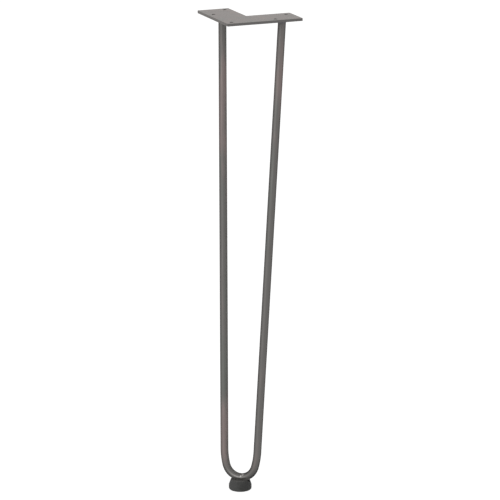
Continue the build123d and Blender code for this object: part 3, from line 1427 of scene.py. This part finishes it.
@dataclass
class RubberFoot:
    """Round tapered foot, its top hollowed to the bend and its base pocketed for the screw's head.

    An upright band at the base runs into a taper up to the rim. The hollow fits the finished bar, with
    an edge as soft as lip. Where the bar leaves the rim towards +X there is a round notch: it starts
    notch_start from the middle, lies notch_aside behind the bar and is notch_depth deep at the rim.
    Its shade grows over shade_start and is full from shade_depth down. No face is higher than facet.
    """

    NOTCH = "notch"

    layout: Layout
    bar: Piece
    top_diameter: float = 29 * MM
    band_height: float = 7.5 * MM
    base_radius: float = 2.7 * MM
    band_radius: float = 2 * MM
    rim_radius: float = 1 * MM
    pocket_diameter: float = 12 * MM
    pocket_radius: float = 0.3 * MM
    passage_diameter: float = 5.5 * MM
    lip: float = 0.08 * MM
    notch_radius: float = 5 * MM
    notch_aside: float = 1.2 * MM
    notch_start: float = 8 * MM
    notch_depth: float = 3 * MM
    shade_depth: float = 0.6 * MM
    shade_start: float = 3 * MM
    sides: int = 144
    facet: float = 0.3 * MM

    def profile(self) -> Profile:
        """Half section as (radius, Z), from the pocket's roof round the outside to the passage.

        Returns:
            Points of the closed outline.
        """
        low, high = self.layout.foot
        roof = self.layout.washer[1].z
        base = (high.x - low.x) / 2
        diameters = (self.passage_diameter, self.pocket_diameter, self.top_diameter)
        passage, pocket, top = (diameter / 2 for diameter in diameters)
        outline = [
            ((passage, roof), 0),
            ((pocket, roof), self.pocket_radius),
            ((pocket, low.z), self.pocket_radius),
            ((base, low.z), self.base_radius),
            ((base, low.z + self.band_height), self.band_radius),
            ((top, high.z), self.rim_radius),
            ((passage, high.z), 0),
        ]
        corners, radii = zip(*outline)
        return divided(rounded(corners, radii), self.facet)

    def notch(self, point: Vector) -> float:
        """Height of the notch's round floor, which falls towards the rim.

        Args:
            point: point of the foot's top.

        Returns:
            Z of the floor there.
        """
        along, aside = (point.x - point.y) / math.sqrt(2), (point.x + point.y) / math.sqrt(2)
        fall = self.notch_depth * (along - self.notch_start) / (self.top_diameter / 2 - self.notch_start)
        square = self.notch_radius**2 - (aside - self.notch_aside) ** 2
        return self.layout.foot[1].z - fall + self.notch_radius - math.sqrt(max(square, 0))

    def seat(self, tree: BVHTree, point: Vector) -> Vector:
        """Lower a point of the foot's top to the bar's underside or the notch, with a soft lip.

        Args:
            tree: the bar's faces.
            point: point of the plain top.

        Returns:
            The point in the hollow, or as it was beside it.
        """
        below = Vector((point.x, point.y, self.layout.foot[0].z))
        hit = tree.ray_cast(below, Vector((0, 0, 1)))[0]
        floor = self.notch(point)
        if hit is not None:
            floor = min(floor, hit.z)
        share = min(max(0.5 + (floor - point.z) / (2 * self.lip), 0), 1)
        height = floor + (point.z - floor) * share - self.lip * share * (1 - share)
        return Vector((point.x, point.y, min(height, point.z)))

    def mark_notch(self, piece: Piece, plain: list[Vector]) -> None:
        """Store how deep each point lies in the notch, from 0 to 1.

        Args:
            piece: the foot.
            plain: its points before the top was hollowed.
        """
        depths = []
        for old, vertex in zip(plain, piece.data.vertices):
            past = (old.x - old.y) / math.sqrt(2) - self.notch_start
            grown = min(max(past / self.shade_start, 0), 1)
            depths.append(min((old.z - vertex.co.z) / self.shade_depth, 1) * grown)
        piece.data.attributes.new(self.NOTCH, "FLOAT", "POINT").data.foreach_set("value", depths)

    def build(self, finish: Material) -> None:
        """Make the foot.

        Args:
            finish: the foot's material.
        """
        shape = bmesh.new()
        shape.from_mesh(self.bar.data)
        tree = BVHTree.FromBMesh(shape)
        shape.free()
        upper = max(self.layout.foot[0].z + self.band_height, self.layout.washer[1].z)
        plain = [ring(radius, height, self.sides) for radius, height in self.profile()]
        rings = [[self.seat(tree, p) for p in loop] if loop[0].z > upper else loop for loop in plain]
        piece = skin("foot", rings, closed=True)
        self.mark_notch(piece, [point for loop in plain for point in loop])
        dress(piece, finish, "rubber_foot")


@dataclass
class FootFastening:
    """Washer and threaded screw that hold the foot to the bend.

    The low head has an upright edge, head_edge high, a flat crown and a hexagon socket. The thread has
    thread_parts rings to a turn. The washer's edges are rounded by washer_edge, the head's by
    head_radius and seat_radius. The sides round each piece are a multiple of six.
    """

    layout: Layout
    washer_bore: float = 5.3 * MM
    washer_edge: float = 0.2 * MM
    thread_diameter: float = 5 * MM
    pitch: float = 0.8 * MM
    thread_depth: float = 0.43 * MM
    thread_parts: int = 8
    tip_chamfer: float = 0.6 * MM
    head_height: float = 2.75 * MM
    head_edge: float = 1.2 * MM
    head_radius: float = 0.4 * MM
    seat_radius: float = 0.15 * MM
    crown_diameter: float = 5.4 * MM
    socket_flats: float = 3 * MM
    socket_depth: float = 1.6 * MM
    sides: int = 72

    def build_washer(self, finish: Material) -> None:
        """Make the washer.

        Args:
            finish: the washer's material.
        """
        low, high = self.layout.washer
        bore, rim = self.washer_bore / 2, high.x
        corners = [(bore, low.z), (rim, low.z), (rim, high.z), (bore, high.z)]
        outline = rounded(corners, [self.washer_edge] * len(corners), parts=4)
        piece = skin("washer", [ring(r, z, self.sides) for r, z in outline], closed=True)
        dress(piece, finish, "foot_washer")

    def thread(self, height: float, end: float) -> Callable[[float], float]:
        """Radius of the thread round the screw at one height.

        Args:
            height: height above the start of the thread.
            end: height of the thread's end.

        Returns:
            Function from an angle to the radius there.
        """
        full = min(height / self.pitch, (end - height) / self.tip_chamfer, 1)
        crest = self.thread_diameter / 2 - max(0, self.tip_chamfer - (end - height))

        def radius(angle: float) -> float:
            """Radius at an angle: a ridge that climbs one pitch in each turn."""
            turn = (height / self.pitch - angle / FULL_TURN) % 1
            return crest - self.thread_depth * max(full, 0) * abs(2 * turn - 1)

        return radius

    def hexagon(self, angle: float) -> float:
        """Radius of the socket's hexagon at an angle."""
        sector = FULL_TURN / 6
        return self.socket_flats / 2 / math.cos(angle % sector - sector / 2)

    def build_screw(self, finish: Material) -> None:
        """Make the screw.

        Args:
            finish: the screw's material.
        """
        low, high = self.layout.screw
        seat = low.z + self.head_height
        length = high.z - seat
        head, crown = high.x, self.crown_diameter / 2
        corners = [(0.0, low.z), (crown, low.z), (head, seat - self.head_edge), (head, seat), (0.0, seat)]
        shell = rounded(corners, [0, self.head_radius, self.head_radius, self.seat_radius, 0])[1:-1]
        turns = steps(0, length, round(length / self.pitch * self.thread_parts))
        outline = [(self.hexagon, low.z + self.socket_depth), (self.hexagon, low.z), *shell]
        outline += [(self.thread(rise, length), seat + rise) for rise in turns]
        piece = skin("screw", [ring(r, z, self.sides) for r, z in outline], closed=False)
        dress(piece, finish, "foot_screw")


@dataclass(frozen=True)
class Softbox:
    """A soft studio lamp that looks at the leg.

    Attributes:
        name: name of the lamp.
        azimuth: bearing in degrees, 0 in front on the -Y side, growing towards +X.
        elevation: height in degrees above the level of the target.
        distance: distance from the target.
        size: side of the square lamp.
        brightness: brightness of the lamp's face, where the surround is 1.
    """

    name: str
    azimuth: float
    elevation: float
    distance: float
    size: float
    brightness: float

    def hang(self, target: Vector) -> None:
        """Put up the lamp.

        Args:
            target: what it looks at.
        """
        light = bpy.data.lights.new(self.name, "AREA")
        light.size = self.size
        light.energy = self.brightness * math.pi * self.size**2
        lamp = bpy.data.objects.new(self.name, light)
        turn, rise = math.radians(self.azimuth), math.radians(self.elevation)
        level = math.cos(rise)
        back = Vector((math.sin(turn) * level, -math.cos(turn) * level, math.sin(rise)))
        lamp.location = target + back * self.distance
        lamp.rotation_euler = back.to_track_quat("Z", "Y").to_euler()
        lamp.visible_camera = False
        bpy.context.scene.collection.objects.link(lamp)
        log.info("lamp %s", self.name)


@dataclass
class Studio:
    """White surround, floor, lamps and camera.

    Attributes:
        floor_height: Z of the floor.
        sink: how far the foot sinks into the floor, so that its base is lit in views from below.
        floor_size: side of the square floor.
        floor_glow: brightness that the floor has of itself, as it is seen.
        floor_white: how much light the floor sends back as it is seen, so that it keeps a shadow.
        floor_bounce: how much light it sends back to the leg.
        surround: brightness of the surround as it lights dull surfaces.
        azimuth: the camera's bearing in degrees, as for a lamp.
        pitch: how far the camera looks down, in degrees.
        distance: the camera's distance from its aim.
        aim: what the middle of the picture shows.
        sensor: width of the camera's sensor in millimetres.
        lens: focal length in millimetres.
        sight: how far the camera sees.
        lamps: the lamps.
    """

    floor_height: float
    sink: float = 0.02 * MM
    floor_size: float = 40.0
    floor_glow: float = 0.9
    floor_white: float = 0.35
    floor_bounce: float = 0.8
    surround: float = 0.45
    azimuth: float = -22.692
    pitch: float = 15.057
    distance: float = 4.3335
    aim: Vector = field(default_factory=lambda: Vector((0.02347, 0.01706, -0.35943)))
    sensor: float = 36.0
    lens: float = 206.14
    sight: float = 100.0
    lamps: tuple[Softbox, ...] = (
        Softbox("key", azimuth=-60.0, elevation=14.0, distance=8.0, size=1.7, brightness=17.0),
        Softbox("fill", azimuth=40.0, elevation=10.0, distance=8.0, size=3.0, brightness=0.8),
    )

    @staticmethod
    def seen(graph: Graph) -> Socket:
        """Tell the rays that show something from those that only light it.

        Args:
            graph: graph of the material or the surround.

        Returns:
            1 for a ray of the camera, a reflection or a refraction, otherwise 0.
        """
        path = graph.add("ShaderNodeLightPath").outputs
        bounce = graph.math("MAXIMUM", path["Is Glossy Ray"], path["Is Transmission Ray"])
        return graph.math("MAXIMUM", path["Is Camera Ray"], bounce)

    def build_world(self) -> None:
        """White all round for the eye and for reflections, dimmer as a light on dull surfaces."""
        world = bpy.data.worlds.new("surround")
        bpy.context.scene.world = world
        world.use_nodes = True
        graph = Graph(world.node_tree)
        background = world.node_tree.nodes["Background"].inputs
        background["Color"].default_value = (1, 1, 1, 1)
        graph.feed(background["Strength"], graph.fade(self.seen(graph), 0.0, 1.0, self.surround, 1.0))

    def build_floor(self) -> None:
        """Lay the white floor, which keeps a soft shadow and is open from below."""
        half = self.floor_size / 2
        corners = [(-half, -half), (half, -half), (half, half), (-half, half)]
        points = [Vector((x, y, self.floor_height + self.sink)) for x, y in corners]
        floor = new_piece("floor", points, faces=[(0, 1, 2, 3)])
        made = bpy.data.materials.new("white_floor")
        made.use_nodes = True
        nodes = made.node_tree.nodes
        nodes.remove(nodes["Principled BSDF"])
        graph = Graph(made.node_tree)
        glow = graph.out("ShaderNodeEmission", {"Strength": self.floor_glow})
        shades = ((level, level, level, 1) for level in (self.floor_white, self.floor_bounce))
        sheet, plain = (graph.out("ShaderNodeBsdfDiffuse", {"Color": shade}) for shade in shades)
        lit = graph.out("ShaderNodeAddShader", {0: glow, 1: sheet})
        face = graph.out("ShaderNodeMixShader", {0: self.seen(graph), 1: plain, 2: lit})
        clear = graph.out("ShaderNodeBsdfTransparent")
        under = graph.add("ShaderNodeNewGeometry").outputs["Backfacing"]
        whole = graph.out("ShaderNodeMixShader", {0: under, 1: face, 2: clear})
        graph.feed(nodes["Material Output"].inputs["Surface"], whole)
        floor.data.materials.append(made)

    def build_camera(self) -> None:
        """Set up the camera at the picture's viewing angle."""
        data = bpy.data.cameras.new("camera")
        data.sensor_width = self.sensor
        data.lens = self.lens
        data.clip_end = self.sight
        camera = bpy.data.objects.new("camera", data)
        camera.rotation_euler = Euler((math.radians(90 - self.pitch), 0, math.radians(self.azimuth)))
        back = camera.rotation_euler.to_matrix() @ Vector((0, 0, 1))
        camera.location = self.aim + back * self.distance
        bpy.context.scene.collection.objects.link(camera)
        bpy.context.scene.camera = camera

    def build(self) -> None:
        """Set up everything round the leg."""
        bpy.context.scene.view_settings.view_transform = "Standard"
        self.build_world()
        self.build_floor()
        self.build_camera()
        for lamp in self.lamps:
            lamp.hang(self.aim)


def main() -> None:
    """Build the studio, the finishes and every piece of the leg."""
    logging.basicConfig(level=logging.INFO, format="%(name)s: %(message)s")
    layout = Layout.from_frame()
    underside, top = (corner.z for corner in layout.plate)
    floor, seat = (corner.z for corner in layout.foot)
    Studio(floor_height=floor).build()
    effects = Effects()
    plate_steel = PlateSteel(
        "plate_steel",
        welds=layout.welds,
        toe=layout.weld_radius,
        thickness=top - underside,
        seed=2.0,
    )
    bar_steel = BarSteel("bar_steel", weld_height=underside, seat_height=seat, seed=21.46)
    weld_steel = WeldSteel("weld_steel", seed=4.0)
    rubber = MouldedRubber("moulded_rubber", floor=floor)
    zinc = ZincPlating("zinc_plating").material(effects)
    PunchedPlate(layout).build(plate_steel.material(effects))
    bar = BentBar(layout).build(bar_steel.material(effects))
    WeldBead(layout).build(weld_steel.material(effects))
    RubberFoot(layout, bar).build(rubber.material(effects))
    fastening = FootFastening(layout)
    fastening.build_washer(zinc)
    fastening.build_screw(zinc)


if __name__ == "__main__":
    main()
